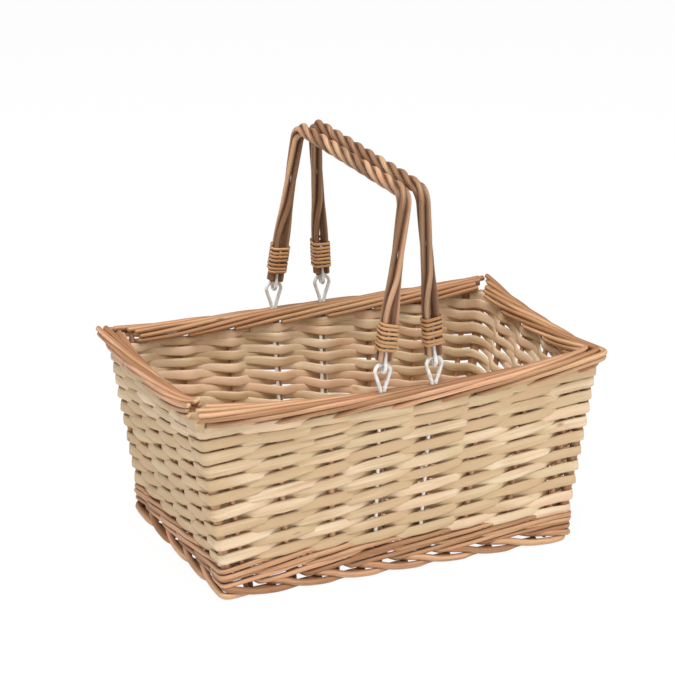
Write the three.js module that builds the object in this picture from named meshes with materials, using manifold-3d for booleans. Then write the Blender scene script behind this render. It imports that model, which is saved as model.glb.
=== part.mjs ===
// An open willow basket with two folding handles. Woven walls flare from a raised foot up to a rim of
// thick rods, and each handle is four rods twisted into one grip, hung at both ends on a wire link.
// Millimetres. X runs along the basket, the front faces -Y, and the foot stands on z = 0.
import * as THREE from 'three';
import { mergeVertices } from 'three/addons/utils/BufferGeometryUtils.js';
import Module from 'manifold-3d';

const wasm = await Module();
wasm.setup();

const clearance = 0.3; // between pieces that touch

// Base
const baseUnderside = 16;
const baseThickness = 10;
const baseStickDiameter = 6.4;
const baseStickCount = 7;
const baseStickSpacing = 30.5;
const baseStickInset = 4; // a stick's ends stop this far inside the weave's edge
const baseEdge = 20.5; // from the outer base sticks' axes to the long walls' middle surface

// The walls' middle surface: where the corner posts' axes stand at the floor and at the top of the weave
const floorCornerX = 172.5;
const floorCornerY = baseStickSpacing * (baseStickCount - 1) / 2 + baseEdge;
const topCornerX = 200.5;
const topCornerY = 117.5;
const longSideBow = 14; // how far the long sides' tops swell outward at their middle
const shortSideBow = 3;

// Heights
const footHeight = 14;
const waleHeight = 20;
const weaveTop = 174; // at the middle of a side
const cornerRise = 8; // the rim and the weave climb by this much at the corners

// Thicknesses, through the wall
const footThickness = 16;
const footShift = 4.5; // the foot's border stands this far out from the middle surface
const waleThickness = 15;
const weaveThickness = 5.6; // halfway between two stakes
const weaveStakeThickness = 9.4; // round the stakes
const weaveHingeThickness = 12.4; // round the two stakes that the hinges' wires run beside
const weaveCornerThickness = 12; // round the corner posts
const weaveSwing = 1.3; // how far the weave swings out and in past the stakes
const weaveHingeSwing = 0.4;

// Weave: the heights of the rows where the sheet passes inside the stakes. It passes outside them halfway
// between two rows.
const weaveRows = [33.5, 49, 64, 79.5, 95.5, 111, 125.5, 140, 153, 166, 178, 190, 202];
const rowDrop = 10; // the rows sink by this much along the front, and climb again round the other sides

// Uprights
const stakeDiameter = 5.2;
const cornerPostDiameter = 10;
const longSideStakes = 8;
const shortSideStakes = 4;
const longStakeSpacing = 0.26; // as a share of a side's half length
const shortStakeSpacing = 0.4;
const stakeTopInRim = 11.3; // how far a stake runs up between the rim's rods

// Foot border: a bottom rail with a slanting window in each bay between two stakes
const footRailHeight = 6.5;
const footWindowHeight = 5;
const footWindowLength = 22;
const footWindowSlant = 6;

// Rim: two bundles of rods, pressed together three high, on either side of the stakes' tops
const rimRodDiameter = 6.4;
const rimLowerOut = 6.3; // a rod's distance from the middle surface
const rimMiddleOut = 6.5;
const rimUpperOut = 5.2;
const rimRowRise = 5; // from the lower rods up to the middle ones
const rimTopRowRise = 4.7; // from the middle rods up to the upper ones
const rimFlare = 5.5; // the outer rods spread out by this much more at the corners
const rimEndOverhang = 6.5; // a rod's end stands this far past the side that it crosses
const rimSeatGap = 0.5; // over the weave, whose top and the rods bend in steps of their own

// Hinge: a wire loop on the rim with a wire eye of the handle hung through it
const wireDiameter = 3;
const loopRadius = 8; // centreline of the loop's round top
const loopNeck = (stakeDiameter + wireDiameter) / 2 + 0.4; // from its legs to the stake that they straddle
const pivotAboveWeave = 35.6;
const loopEndHeight = 41; // the loop's legs run down the wall to here
const loopTurn = [8, 17]; // below the weave's top, between which its legs turn from beside the stake
// towards the wall's two faces
const eyeRadius = 5;
const eyeNeck = 1.7; // half the distance between the eye's legs inside the handle
const eyeLegEnd = 40; // from the pivot
const eyeSpread = 6; // above the rods' ends, where the eye's legs start to part
const roundSteps = 8; // in each half circle of wire

// Handles
const rodDiameter = 5.5;
const rodsPerHandle = 4;
const twistRadius = 4.3; // from the handle's centreline to a rod's
const gripHeight = 379; // with the handle upright
const gripRestX = { left: -1, right: 16 }; // the grips' centrelines at rest, both leaned to the right
const gripHalfLength = 126;
const bendRadius = 14;
const gripTurns = 2.25;
const bendTwist = 45; // degrees, in each bend
const legTwist = 90; // degrees, in each leg
const legEnd = 10; // from the pivot to the cut ends of the rods
const legPairX = 4.7; // the rods' places where they clasp the eye's legs
const legPairY = 3.2;
const claspLength = 50; // from the pivot, where the rods keep those places
const claspFade = 20; // over which they gather into the round bundle

// Cane binding round each leg's end
const caneWidth = 3;
const caneThickness = 1.3;
const canePitch = 3.9;
const caneTurns = 7;
const caneGap = 0.55; // between the cane and the rods
const bindingStart = 19.5; // from the pivot to the first turn's centre
const caneTail = 3; // the straight run at either end
const caneCorners = 5; // of the cane's section
const caneCornerSteps = 2; // round each corner of the clasped rods

const willowBrown = { color: 0xc08f62, roughness: 0.7, metalness: 0 };
const willowPale = { color: 0xd6c096, roughness: 0.75, metalness: 0 };
const willowStake = { color: 0xb5794f, roughness: 0.7, metalness: 0 };
const caneColour = { color: 0xcfa070, roughness: 0.65, metalness: 0 };
const coatedWire = { color: 0xdcdad4, roughness: 0.4, metalness: 0 };

const mix = THREE.MathUtils.lerp;
const degrees = THREE.MathUtils.degToRad;

// Sides go round counterclockwise seen from above: along is the way round, out is away from the middle
const sides = [
  { name: 'front', along: [1, 0], out: [0, -1], long: true },
  { name: 'right', along: [0, 1], out: [1, 0], long: false },
  { name: 'back', along: [-1, 0], out: [0, 1], long: true },
  { name: 'left', along: [0, -1], out: [-1, 0], long: false },
];

const object = new THREE.Group();

function addPiece(group, name, geometry, look) {
  const mesh = new THREE.Mesh(geometry, new THREE.MeshStandardMaterial(look));
  mesh.name = name;
  group.add(mesh);
}

// The weave's top at a share t of a side's half length
function weaveTopAt(t) {
  return weaveTop + cornerRise * Math.abs(t) ** 3;
}

// A point on a side's middle surface at share t and height z, moved out by offset. A mitre draws the
// side's end back from the diagonal.
function sidePoint(side, t, z, offset = 0, mitre = 0) {
  const u = z / weaveTopAt(t);
  const floor = side.long ? [floorCornerX, floorCornerY] : [floorCornerY, floorCornerX];
  const top = side.long ? [topCornerX, topCornerY] : [topCornerY, topCornerX];
  const bow = side.long ? longSideBow : shortSideBow;
  const along = t * (mix(floor[0], top[0], u) + offset - mitre);
  const out = mix(floor[1], top[1], u) + bow * u * (1 - t * t) + offset;
  return new THREE.Vector3(
    along * side.along[0] + out * side.out[0],
    along * side.along[1] + out * side.out[1],
    z,
  );
}

// The shares t of a side's stakes
function stakeShares(side) {
  const count = side.long ? longSideStakes : shortSideStakes;
  const spacing = side.long ? longStakeSpacing : shortStakeSpacing;
  return Array.from({ length: count }, (unused, k) => (k - (count - 1) / 2) * spacing);
}

// A closed skin over rings of points, all with the same count. Its ends are fans, or the faces given.
function loft(rings, endFaces) {
  const count = rings[0].length;
  const positions = rings.flat().flatMap((point) => point.toArray());
  const faces = [];
  for (let ring = 0; ring < rings.length - 1; ring += 1) {
    for (let k = 0; k < count; k += 1) {
      const a = ring * count + k;
      const b = ring * count + ((k + 1) % count);
      faces.push([a, b, b + count], [a, b + count, a + count]);
    }
  }
  const last = (rings.length - 1) * count;
  const fan = Array.from({ length: count - 2 }, (unused, k) => [0, k + 1, k + 2]);
  for (const [a, b, c] of endFaces ?? fan) {
    faces.push([a, c, b], [last + a, last + b, last + c]);
  }
  const corner = (index) => new THREE.Vector3().fromArray(positions, index * 3);
  const volume = faces.reduce((sum, [a, b, c]) => sum + corner(a).dot(corner(b).cross(corner(c))), 0);
  const outward = volume > 0 ? faces : faces.map(([a, b, c]) => [a, c, b]);
  const geometry = new THREE.BufferGeometry();
  geometry.setAttribute('position', new THREE.Float32BufferAttribute(positions, 3));
  geometry.setIndex(outward.flat());
  return geometry;
}

function polygon(radius, corners) {
  const points = Array.from({ length: corners }, (unused, k) => {
    const angle = (2 * Math.PI * k) / corners;
    return new THREE.Vector2(radius * Math.cos(angle), radius * Math.sin(angle));
  });
  return new THREE.Shape(points);
}

// A path whose steps are spread evenly in t, so that it can be finer where it bends
class SteppedPath extends THREE.Curve {
  constructor(pointAt) {
    super();
    this.pointAt = pointAt;
  }

  getPoint(t, target = new THREE.Vector3()) {
    return target.copy(this.pointAt(t));
  }

  getUtoTmapping(u) {
    return u;
  }
}

function tube(path, radius, steps, corners) {
  const settings = { steps, extrudePath: path, bevelEnabled: false };
  return new THREE.ExtrudeGeometry(polygon(radius, corners), settings);
}

function straightTube(start, end, radius, corners) {
  return tube(new THREE.LineCurve3(start, end), radius, 1, corners);
}

// A tube through chosen points, straight from each to the next
function wireThrough(points, radius, corners = 5) {
  const last = points.length - 1;
  const path = new SteppedPath((t) => {
    const place = THREE.MathUtils.clamp(t * last, 0, last);
    const index = Math.min(Math.floor(place), last - 1);
    return points[index].clone().lerp(points[index + 1], place - index);
  });
  path.getTangent = (t) => {
    const place = Math.round(t * last);
    const before = points[Math.max(place - 1, 0)];
    const after = points[Math.min(place + 1, last)];
    return after.clone().sub(before).normalize();
  };
  return tube(path, radius, last, corners);
}

function toSolid(geometry) {
  const bare = geometry.clone();
  bare.deleteAttribute('normal');
  bare.deleteAttribute('uv');
  const merged = mergeVertices(bare, 1e-4);
  return new wasm.Manifold(
    new wasm.Mesh({
      numProp: 3,
      vertProperties: new Float32Array(merged.attributes.position.array),
      triVerts: new Uint32Array(merged.index.array),
    }),
  );
}

function toGeometry(solid) {
  const mesh = solid.getMesh();
  const geometry = new THREE.BufferGeometry();
  geometry.setAttribute('position', new THREE.Float32BufferAttribute(mesh.vertProperties, 3));
  geometry.setIndex([...mesh.triVerts]);
  return geometry;
}

function cut(geometry, cutters) {
  return toGeometry(cutters.reduce((solid, cutter) => solid.subtract(toSolid(cutter)), toSolid(geometry)));
}

function join(geometries) {
  return toGeometry(geometries.map(toSolid).reduce((all, solid) => all.add(solid)));
}

// One side of a wall layer, mitred at both corners. It stands shift further out than the middle surface.
function wallSlab(side, bottomAt, topAt, thickness, columns, shift = 0) {
  const outer = shift + thickness / 2;
  const inner = shift - thickness / 2;
  const rings = [];
  for (let k = 0; k <= columns; k += 1) {
    const t = (2 * k) / columns - 1;
    rings.push([
      sidePoint(side, t, bottomAt(t), outer, clearance),
      sidePoint(side, t, topAt(t), outer, clearance),
      sidePoint(side, t, topAt(t), inner, clearance),
      sidePoint(side, t, bottomAt(t), inner, clearance),
    ]);
  }
  return loft(rings);
}

// A straight upright at share t with level ends, or the bore for one when it is given room
function upright(side, t, bottom, top, diameter, corners, room = 0) {
  return loft([bottom, top].map((z) => {
    const middle = sidePoint(side, t, z);
    return polygon(diameter / 2 + room, corners).getPoints().slice(0, corners).map((point) => (
      new THREE.Vector3(middle.x + point.x, middle.y + point.y, z)
    ));
  }));
}

function uprightBores(side, bottom, top) {
  const bores = stakeShares(side).map((t) => upright(side, t, bottom, top, stakeDiameter, 6, clearance));
  for (const t of [-1, 1]) {
    bores.push(upright(side, t, bottom, top, cornerPostDiameter, 8, clearance));
  }
  return bores;
}

// The hinge: its loop stands over the long sides' middle stakes
const hingeShare = longStakeSpacing / 2;
const pivotHeight = weaveTopAt(hingeShare) + pivotAboveWeave;
const rimLowerRise = rimRodDiameter / 2 + rimSeatGap;
const rimTop = weaveTop + rimLowerRise + rimRowRise + rimTopRowRise + rimRodDiameter / 2;

function hingePivot(side, share) {
  const point = sidePoint(side, share, rimTop);
  return new THREE.Vector3(point.x, point.y, pivotHeight);
}

// The loop's wire: up the wall outside the stake and to its left, round the top, and down on the other side
function loopPoints(side, share) {
  const pivot = hingePivot(side, share);
  const place = (across, out, z) => {
    const onWall = z > rimTop ? new THREE.Vector3(pivot.x, pivot.y, z) : sidePoint(side, share, z);
    onWall.x += across * side.along[0] + out * side.out[0];
    onWall.y += across * side.along[1] + out * side.out[1];
    return onWall;
  };
  const turned = loopNeck / Math.SQRT2;
  const [turnStart, turnEnd] = loopTurn.map((drop) => weaveTopAt(share) - drop);
  const leg = (way) => [
    place(way * turned, -way * turned, loopEndHeight),
    place(way * turned, -way * turned, turnEnd),
    place(way * loopNeck, 0, turnStart),
    place(way * loopNeck, 0, rimTop),
  ];
  const arch = [];
  for (let k = 0; k <= roundSteps; k += 1) {
    const angle = (Math.PI * k) / roundSteps;
    arch.push(place(loopRadius * Math.cos(angle), 0, pivotHeight + loopRadius * Math.sin(angle)));
  }
  return [...leg(1), ...arch, ...leg(-1).reverse()];
}

const hingeLoops = sides
  .filter((side) => side.long)
  .flatMap((side) => [-hingeShare, hingeShare].map((share) => ({ side, share })));

// Which handle a loop carries, by the sign of its place along X
function handleSide(side, share) {
  return share * side.along[0] < 0 ? 'left' : 'right';
}

// The stakes of a side, with their lower ends worked sideways into the foot's border
function addStakesAndFoot(side) {
  const bays = side.long ? longSideStakes - 1 : shortSideStakes + 1;
  const spacing = side.long ? longStakeSpacing : shortStakeSpacing;
  const windows = Array.from({ length: bays }, (unused, k) => {
    const t = (k - (bays - 1) / 2) * spacing;
    const low = footRailHeight;
    const high = footRailHeight + footWindowHeight;
    const ring = (offset) => {
      const corner = (dx, z) => {
        const point = sidePoint(side, t, z, offset);
        point.x += dx * side.along[0];
        point.y += dx * side.along[1];
        return point;
      };
      const half = footWindowLength / 2;
      return [
        corner(-half + footWindowSlant, low),
        corner(half, low),
        corner(half - footWindowSlant, high),
        corner(-half, high),
      ];
    };
    return loft([ring(footShift + footThickness), ring(footShift - footThickness)]);
  });
  const border = cut(wallSlab(side, () => 0, () => footHeight, footThickness, 2, footShift), windows);
  const stakes = stakeShares(side).map((t) => (
    upright(side, t, footHeight / 2, weaveTopAt(t) + stakeTopInRim, stakeDiameter, 6)
  ));
  addPiece(object, `stakes_and_foot_${side.name}`, join([border, ...stakes]), willowBrown);
}

function addWale(side) {
  const bottom = footHeight + clearance;
  const top = footHeight + waleHeight;
  const slab = wallSlab(side, () => bottom, () => top, waleThickness, 6);
  addPiece(object, `wale_${side.name}`, cut(slab, uprightBores(side, bottom - 2, top + 2)), willowBrown);
}

// How far the rows have sunk at share t of a side, by the way round from the front's left corner
function rowSink(side, t) {
  if (side.name === 'front') return rowDrop * THREE.MathUtils.smoothstep(t, -0.35, 1.1);
  const way = sides.indexOf(side) - 1 + (t + 1) / 2;
  return rowDrop * (1 - way / 3);
}

// Triangles between two columns of points, left and right, that climb in steps of their own
function stitch(left, right) {
  const faces = [];
  let i = 0;
  let j = 0;
  while (i < left.length - 1 || j < right.length - 1) {
    const leftNext = i < left.length - 1 ? left[i].level + left[i + 1].level : Infinity;
    const rightNext = j < right.length - 1 ? right[j].level + right[j + 1].level : Infinity;
    if (leftNext <= rightNext) {
      faces.push([left[i].index, right[j].index, left[i + 1].index]);
      i += 1;
    } else {
      faces.push([left[i].index, right[j].index, right[j + 1].index]);
      j += 1;
    }
  }
  return faces;
}

// The woven sheet of a side, before it is trimmed to its band: it passes inside the stakes at each row,
// outside them between two rows, and runs flat and thin halfway between two stakes
function wovenSheet(side) {
  const stakes = stakeShares(side);
  const spacing = stakes[1] - stakes[0];
  const isHinge = (t) => side.long && Math.abs(Math.abs(t) - hingeShare) < 1e-6;
  const columns = stakes.map((t) => ({
    t,
    swing: isHinge(t) ? weaveHingeSwing : weaveSwing,
    half: (isHinge(t) ? weaveHingeThickness : weaveStakeThickness) / 2,
  }));
  const flat = stakes.slice(1).map((t) => t - spacing / 2);
  const pastLast = 1 - stakes.at(-1);
  if (pastLast > spacing / 2) flat.push(-1 + pastLast / 2, 1 - pastLast / 2);
  for (const t of flat) columns.push({ t, swing: 0, half: weaveThickness / 2 });
  for (const t of [-1, 1]) columns.push({ t, swing: 0, half: weaveCornerThickness / 2 });
  columns.sort((a, b) => a.t - b.t);

  // A level at each row and at each place halfway between two, where the sheet is furthest out. The flat
  // columns need fewer of them.
  const heights = weaveRows.flatMap((height, k) => {
    const below = k === 0 ? 2 * height - weaveRows[1] : weaveRows[k - 1];
    return [(below + height) / 2, height];
  });
  const everyLevel = heights.map((height, level) => level);
  const fewLevels = everyLevel.filter((level) => level % 4 === 0 || level === heights.length - 1);
  const positions = [];
  const skin = ({ t, swing }, offset) => (swing > 0 ? everyLevel : fewLevels).map((level) => {
    const out = offset + (level % 2 === 0 ? swing : -swing);
    positions.push(...sidePoint(side, t, heights[level] - rowSink(side, t), out, clearance).toArray());
    return { level, index: positions.length / 3 - 1 };
  });
  const outer = columns.map((column) => skin(column, column.half));
  const inner = columns.map((column) => skin(column, -column.half));
  const faces = [...stitch(inner[0], outer[0]), ...stitch(outer.at(-1), inner.at(-1))];
  for (let k = 0; k < columns.length - 1; k += 1) {
    faces.push(...stitch(outer[k], outer[k + 1]), ...stitch(inner[k + 1], inner[k]));
    const around = [outer[k], inner[k], inner[k + 1], outer[k + 1]];
    const edge = (row) => around.map((points) => points.at(row).index);
    const [a, b, c, d] = edge(0);
    const [aTop, bTop, cTop, dTop] = edge(-1);
    faces.push([a, b, c], [a, c, d], [aTop, cTop, bTop], [aTop, dTop, cTop]);
  }
  const geometry = new THREE.BufferGeometry();
  geometry.setAttribute('position', new THREE.Float32BufferAttribute(positions, 3));
  geometry.setIndex(faces.flat());
  return geometry;
}

function addWeave(side) {
  const bottom = footHeight + waleHeight + clearance;
  const band = wallSlab(side, () => bottom, weaveTopAt, 3 * weaveCornerThickness, side.long ? 12 : 8);
  const sheet = toSolid(wovenSheet(side)).intersect(toSolid(band));
  const cutters = uprightBores(side, bottom - 2, weaveTop + cornerRise + 4);
  for (const loop of hingeLoops.filter((one) => one.side === side)) {
    cutters.push(wireThrough(loopPoints(side, loop.share), wireDiameter / 2 + clearance));
  }
  addPiece(object, `weave_${side.name}`, cut(toGeometry(sheet), cutters), willowPale);
}

// The post that stands where a side meets the next one round
function addCornerPost(side, name) {
  const post = upright(side, 1, footHeight + clearance, weaveTopAt(1) - clearance, cornerPostDiameter, 8);
  addPiece(object, `corner_post_${name}`, post, willowStake);
}

// The outline of three rods pressed together in a column, as [out, rise] about the middle surface:
// scalloped on the face away from the stakes, nearly flat on the face towards them
function rimOutline() {
  const radius = rimRodDiameter / 2;
  const middleRise = rimLowerRise + rimRowRise;
  const rows = [
    [rimLowerOut, rimLowerRise],
    [rimMiddleOut, middleRise],
    [rimUpperOut, middleRise + rimTopRowRise],
  ];
  const facet = radius * Math.cos(Math.PI / 6);
  const outline = [[rimLowerOut, rimLowerRise - radius]];
  rows.forEach(([out, rise], k) => {
    outline.push([out + facet, rise - radius / 2], [out + facet, rise + radius / 2]);
    if (k < 2) outline.push([(out + rows[k + 1][0]) / 2 + radius / 2, (rise + rows[k + 1][1]) / 2]);
  });
  outline.push([rimUpperOut, middleRise + rimTopRowRise + radius]);
  for (const [out, rise] of [...rows].reverse()) outline.push([out - radius, rise]);
  return outline;
}

// Each side's rim rods butt against the side before and run out over the corner past the side after
function addRim(side) {
  const outline = rimOutline();
  const endFaces = THREE.ShapeUtils.triangulateShape(outline.map(([x, y]) => new THREE.Vector2(x, y)), []);
  const depth = rimMiddleOut + rimRodDiameter / 2;
  const halfAlong = side.long ? topCornerX : topCornerY;
  const alongSide = new THREE.Vector3(...side.along, 0);
  const steps = side.long ? 12 : 8;
  const bundle = (way) => {
    const flare = way > 0 ? rimFlare : 0;
    const rings = [];
    for (let k = 0; k <= steps + 1; k += 1) {
      rings.push(outline.map(([out, rise]) => {
        const corner = sidePoint(side, 1, weaveTopAt(1) + rise, way * out + flare);
        const reach = corner.dot(alongSide);
        if (k > steps) return corner.addScaledVector(alongSide, halfAlong + depth + rimEndOverhang - reach);
        const t = mix(-(halfAlong - depth - clearance) / reach, 1, k / steps);
        return sidePoint(side, t, weaveTopAt(t) + rise, way * out + flare * Math.abs(t) ** 3);
      }));
    }
    return loft(rings, endFaces);
  };
  addPiece(object, `rim_${side.name}_outer`, bundle(1), willowBrown);
  addPiece(object, `rim_${side.name}_inner`, bundle(-1), willowBrown);
}

function addBase() {
  const depth = waleThickness / 2 + clearance;
  const ring = (z) => {
    const corner = sidePoint(sides[0], 1, z, -depth);
    return [[-1, -1], [1, -1], [1, 1], [-1, 1]].map(([x, y]) => (
      new THREE.Vector3(x * corner.x, y * -corner.y, z)
    ));
  };
  const slab = loft([ring(baseUnderside), ring(baseUnderside + baseThickness)]);
  const halfLength = sidePoint(sides[0], 1, baseUnderside, -depth).x;
  const middle = baseUnderside + baseThickness / 2;
  const stick = (k, reach, room) => {
    const y = (k - (baseStickCount - 1) / 2) * baseStickSpacing;
    return straightTube(
      new THREE.Vector3(-reach, y, middle),
      new THREE.Vector3(reach, y, middle),
      baseStickDiameter / 2 + room,
      6,
    );
  };
  const every = Array.from({ length: baseStickCount }, (unused, k) => k);
  const bores = every.map((k) => stick(k, halfLength + baseThickness, clearance));
  addPiece(object, 'base_weave', cut(slab, bores), willowPale);
  for (const k of every) {
    addPiece(object, `base_stick_${k + 1}`, stick(k, halfLength - baseStickInset, 0), willowStake);
  }
}

function addHingeLoops() {
  for (const { side, share } of hingeLoops) {
    const wire = wireThrough(loopPoints(side, share), wireDiameter / 2);
    addPiece(object, `hinge_loop_${handleSide(side, share)}_${side.name}`, wire, coatedWire);
  }
}

// A handle lies in its own plane: Y along the grip and Z away from the pivot axis. At rest it leans until
// its grip nearly meets the other one.
const rightPivot = hingePivot(sides[0], hingeShare);
const hingeY = Math.abs(rightPivot.y);
const handleReach = gripHeight - pivotHeight;

// The handle's centreline: straight legs, a round bend and the grip, found by the length run along it
function centreline() {
  const pivot = new THREE.Vector2(-hingeY, 0);
  const shoulder = new THREE.Vector2(-gripHalfLength, handleReach);
  const legWay = shoulder.clone().sub(pivot).normalize();
  const legSide = new THREE.Vector2(legWay.y, -legWay.x); // towards the hand gap
  const foot = pivot.clone().addScaledVector(legWay, legEnd);
  const bendAngle = Math.PI / 2 - Math.atan2(shoulder.x + hingeY, handleReach);
  const setBack = bendRadius * Math.tan(bendAngle / 2);
  const legLength = foot.distanceTo(shoulder) - setBack;
  const bendLength = bendRadius * bendAngle;
  const gripLength = 2 * (gripHalfLength - setBack);
  const bendStart = foot.clone().addScaledVector(legWay, legLength);
  const centre = bendStart.clone().addScaledVector(legSide, bendRadius);
  const half = legLength + bendLength + gripLength / 2;

  // Place and inward normal of the left half, at a length from the foot
  function leftHalf(run) {
    if (run <= legLength) {
      return { place: foot.clone().addScaledVector(legWay, run), normal: legSide.clone() };
    }
    if (run <= legLength + bendLength) {
      const angle = (run - legLength) / bendRadius;
      const normal = legSide.clone().rotateAround(new THREE.Vector2(), -angle);
      return { place: centre.clone().addScaledVector(normal, -bendRadius), normal };
    }
    const past = run - legLength - bendLength;
    const start = new THREE.Vector2(-gripHalfLength + setBack, handleReach);
    return { place: start.add(new THREE.Vector2(past, 0)), normal: new THREE.Vector2(0, -1) };
  }

  function at(run) {
    const mirrored = run > half;
    const found = leftHalf(mirrored ? 2 * half - run : run);
    if (mirrored) {
      found.place.x *= -1;
      found.normal.x *= -1;
    }
    return found;
  }

  return { at, legLength, bendLength, gripLength, total: 2 * half };
}

const line = centreline();

// The handle's stretches from end to end: slow twist in the legs, quick in the grip
const leg = { length: line.legLength, twist: legTwist, steps: 4 };
const bend = { length: line.bendLength, twist: bendTwist, steps: 3 };
const grip = { length: line.gripLength, twist: 360 * gripTurns, steps: 20 };
const stretches = [leg, bend, grip, bend, leg];

// The bundle's twist in degrees at a length along the handle
function twistAt(run) {
  let turned = 0;
  let left = run;
  for (const { length, twist } of stretches) {
    turned += twist * THREE.MathUtils.clamp(left / length, 0, 1);
    left -= length;
  }
  return turned;
}

// The section frame on the handle: across is the plane's normal, inward points to the hand gap
function bundlePoint(run, across, inward) {
  const { place, normal } = line.at(run);
  return new THREE.Vector3(across, place.x + normal.x * inward, place.y + normal.y * inward);
}

// One of the rods that make up a handle: clasped in pairs at the ends, twisted together between them
function rod(index) {
  const stops = [0];
  for (const { length, steps } of stretches) {
    const from = stops[stops.length - 1];
    for (let k = 1; k <= steps; k += 1) stops.push(from + (length * k) / steps);
  }
  const points = stops.map((run) => {
    const fromPivot = Math.min(run, line.total - run) + legEnd;
    const clasp = 1 - THREE.MathUtils.smoothstep(fromPivot, claspLength, claspLength + claspFade);
    const angle = degrees(45 + (360 * index) / rodsPerHandle + twistAt(run));
    const across = twistRadius * Math.cos(angle);
    const inward = twistRadius * Math.sin(angle);
    const claspedAcross = legPairX * Math.sign(across);
    const claspedInward = legPairY * Math.sign(inward);
    return bundlePoint(run, mix(across, claspedAcross, clasp), mix(inward, claspedInward, clasp));
  });
  return wireThrough(points, rodDiameter / 2, 6);
}

// The eye's wire: out of the handle's end, round the pivot and back in
function eyePoints(end) {
  const place = (along, reach) => new THREE.Vector3(0, end * hingeY + along, reach);
  const round = [];
  for (let k = 0; k <= roundSteps; k += 1) {
    const angle = (Math.PI * k) / roundSteps;
    round.push(place(eyeRadius * Math.cos(angle), eyeRadius - eyeRadius * Math.sin(angle)));
  }
  const legPoints = (way) => {
    const inHandle = (run) => bundlePoint(run, 0, eyeNeck * way);
    return [inHandle(eyeLegEnd - legEnd), inHandle(eyeSpread)].map((point) => {
      point.y *= -end;
      return point;
    });
  };
  return [...legPoints(-end), ...round, ...legPoints(end).reverse()];
}

// The cane's path goes round the clasped rods' four corners, straight between them
function windingRings(end) {
  const cornerRadius = rodDiameter / 2 + caneGap + caneThickness / 2;
  const corners = [
    { x: legPairX, y: legPairY, from: 0 },
    { x: -legPairX, y: legPairY, from: 90 },
    { x: -legPairX, y: -legPairY, from: 180 },
    { x: legPairX, y: -legPairY, from: 270 },
  ];
  const stops = [];
  for (let turn = 0; turn < caneTurns; turn += 1) {
    for (const corner of corners) {
      for (let step = 0; step <= caneCornerSteps; step += 1) {
        const angle = degrees(corner.from + (90 * step) / caneCornerSteps);
        const normal = new THREE.Vector2(Math.cos(angle), Math.sin(angle));
        const place = new THREE.Vector2(corner.x, corner.y).addScaledVector(normal, cornerRadius);
        stops.push({ place, normal });
      }
    }
  }
  // Each stop climbs by its share of the way round
  stops.forEach((stop, k) => {
    stop.way = k === 0 ? 0 : stops[k - 1].way + stop.place.distanceTo(stops[k - 1].place);
  });
  const climb = (caneTurns * canePitch) / stops[stops.length - 1].way;
  for (const stop of stops) stop.run = stop.way * climb;
  const tail = (stop, way) => {
    const place = stop.place.clone().add(new THREE.Vector2(0, way * caneTail));
    return { ...stop, place };
  };
  stops.unshift(tail(stops[0], -1));
  stops.push(tail(stops[stops.length - 1], 1));
  return stops.map(({ place, normal, run }) => {
    const ring = [];
    for (let k = 0; k < caneCorners; k += 1) {
      const angle = (2 * Math.PI * k) / caneCorners;
      const outward = (caneThickness / 2) * Math.cos(angle);
      const along = (caneWidth / 2) * Math.sin(angle);
      const point = bundlePoint(
        bindingStart - legEnd + run + along,
        place.x + normal.x * outward,
        place.y + normal.y * outward,
      );
      point.y *= -end;
      ring.push(point);
    }
    return ring;
  });
}

// The least distance between one turn of the cane and the next, over the rings' points
function leastSelfGap(rings) {
  const pointsPerTurn = 4 * (caneCornerSteps + 1);
  let least = Infinity;
  rings.forEach((ring, k) => {
    const end = Math.min(k + pointsPerTurn + 3, rings.length);
    for (let other = k + pointsPerTurn - 2; other < end; other += 1) {
      for (const a of ring) {
        for (const b of rings[other]) least = Math.min(least, a.distanceTo(b));
      }
    }
  });
  return least;
}

function addHandle(name, turn) {
  const handle = new THREE.Group();
  const pivotLine = new THREE.Group();
  pivotLine.position.set(rightPivot.x, 0, pivotHeight);
  pivotLine.rotation.y = -Math.asin((rightPivot.x - Math.cos(turn) * gripRestX[name]) / handleReach);
  pivotLine.add(handle);
  const placed = new THREE.Group();
  placed.rotation.z = turn;
  placed.add(pivotLine);
  object.add(placed);
  for (let index = 0; index < rodsPerHandle; index += 1) {
    addPiece(handle, `${name}_handle_rod_${index + 1}`, rod(index), willowBrown);
  }
  for (const end of [-1, 1]) {
    const facesFront = turn === 0 ? end < 0 : end > 0;
    const place = facesFront ? 'front' : 'back';
    addPiece(handle, `${name}_${place}_eye`, wireThrough(eyePoints(end), wireDiameter / 2), coatedWire);
    const rings = windingRings(end);
    addPiece(handle, `${name}_${place}_binding`, loft(rings), caneColour);
    const gap = leastSelfGap(rings);
    console.log(`${name}_${place}_binding: least gap between turns ${gap.toFixed(2)} mm`);
  }
}

addBase();
sides.forEach(addStakesAndFoot);
sides.forEach(addWale);
sides.forEach(addWeave);
['front_right', 'back_right', 'back_left', 'front_left'].forEach((name, k) => addCornerPost(sides[k], name));
sides.forEach(addRim);
addHingeLoops();
addHandle('right', 0);
addHandle('left', Math.PI);

export default object;
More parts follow.
